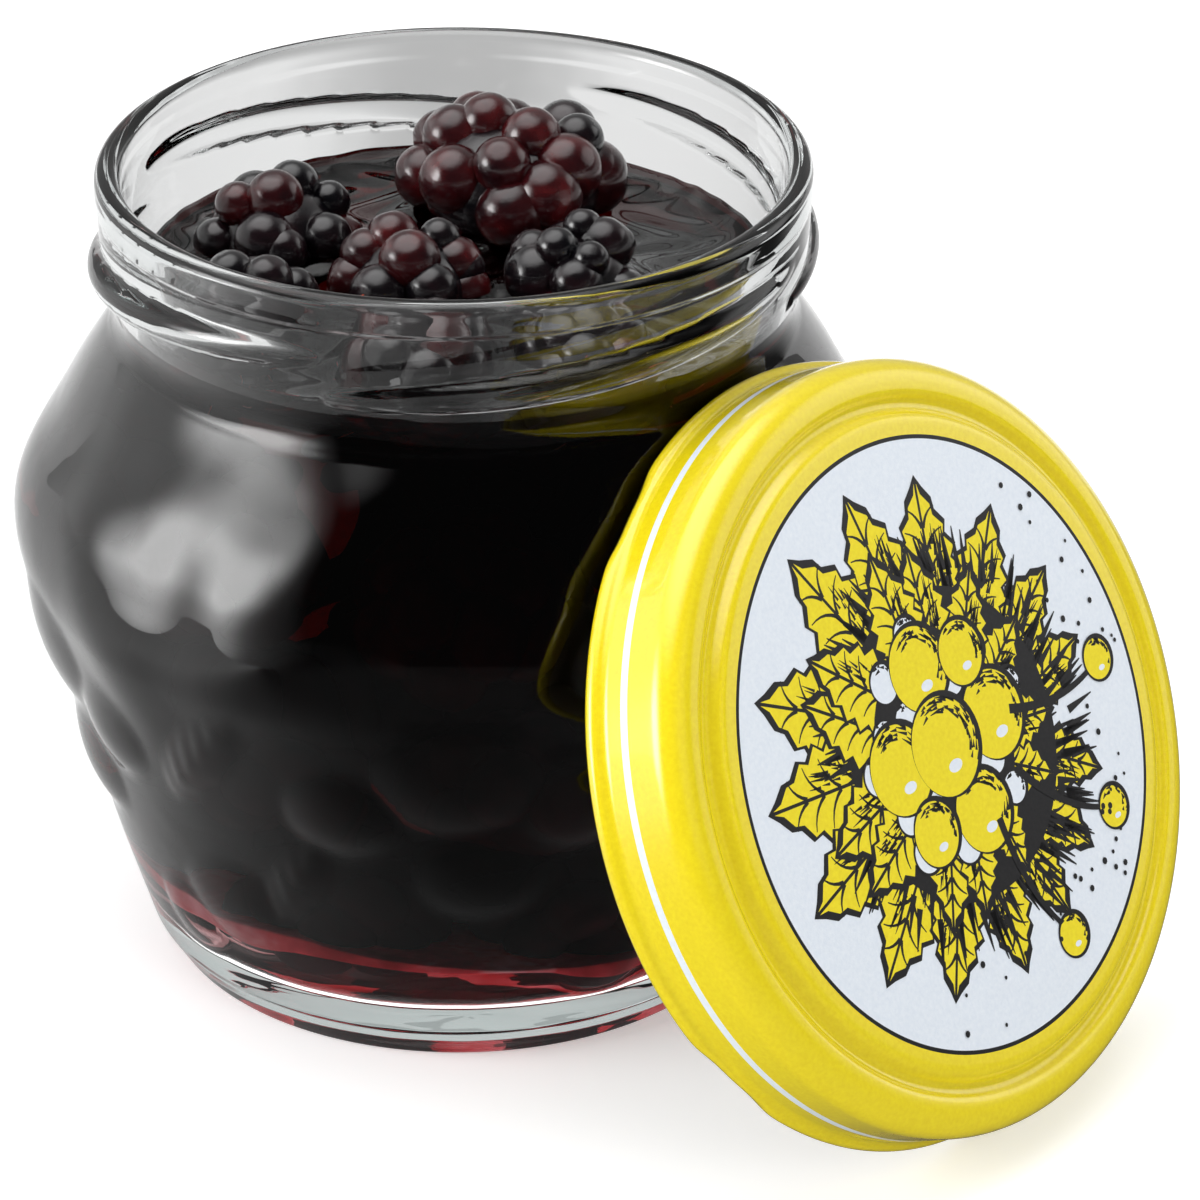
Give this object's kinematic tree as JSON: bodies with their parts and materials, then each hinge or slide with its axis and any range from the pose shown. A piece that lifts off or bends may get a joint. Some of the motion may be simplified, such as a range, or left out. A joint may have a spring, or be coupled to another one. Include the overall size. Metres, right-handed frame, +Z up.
{
  "type": "jam pot",
  "caption": "Round-bellied glass jam pot filled with dark berries in dark red syrup, with its twist-off lid taken off and leaning on the jar.",
  "frame": {"origin": "centre of the jar's foot, on the surface that it stands on", "axes": "+Z up along the jar's axis; +X to the right and +Y away from the viewer in the picture"},
  "size_m": [0.1003, 0.097, 0.0724],
  "materials": {
    "jar_glass": "clear pressed glass",
    "syrup": "wet, see-through dark red",
    "berry_dark": "wet skin",
    "berry_red": "wet skin",
    "lid_enamel": "satin enamel on tinplate",
    "sealing_compound": "matte"
  },
  "bodies": {
    "jar": {"glass_jar": "jar_glass", "syrup": "syrup", "berry_top_large": "berry_red", "berry_top_left": "berry_dark", "berry_top_front": "berry_red", "berry_top_right": "berry_dark", "berry_top_left_front": "berry_dark", "berry_top_near": "berry_red", "berry_top_near_right": "berry_dark", "berry_low_1": "berry_dark", "berry_low_2": "berry_dark", "berry_low_3": "berry_dark", "berry_low_4": "berry_dark", "berry_low_5": "berry_dark", "berry_low_6": "berry_dark", "berry_low_centre": "berry_dark", "berry_mid_1": "berry_dark", "berry_mid_2": "berry_dark", "berry_mid_3": "berry_dark", "berry_mid_4": "berry_dark", "berry_mid_5": "berry_dark", "berry_mid_6": "berry_dark", "berry_mid_7": "berry_dark", "berry_mid_centre": "berry_dark", "berry_high_1": "berry_dark", "berry_high_2": "berry_dark", "berry_high_3": "berry_dark", "berry_high_4": "berry_dark", "berry_high_5": "berry_dark", "berry_high_6": "berry_dark", "berry_high_7": "berry_dark", "berry_high_8": "berry_dark", "berry_high_centre": "berry_dark"},
    "lid": {"lid_shell": "lid_enamel", "sealing_ring": "sealing_compound"}
  },
  "joints": [
    {"name": "lid_tip", "type": "hinge", "parent": "jar", "child": "lid", "pos_m": [0.0508, -0.04262, 0.0015], "axis": [0.6428, 0.766, 0], "range_deg": [0, 115.5]}
  ]
}
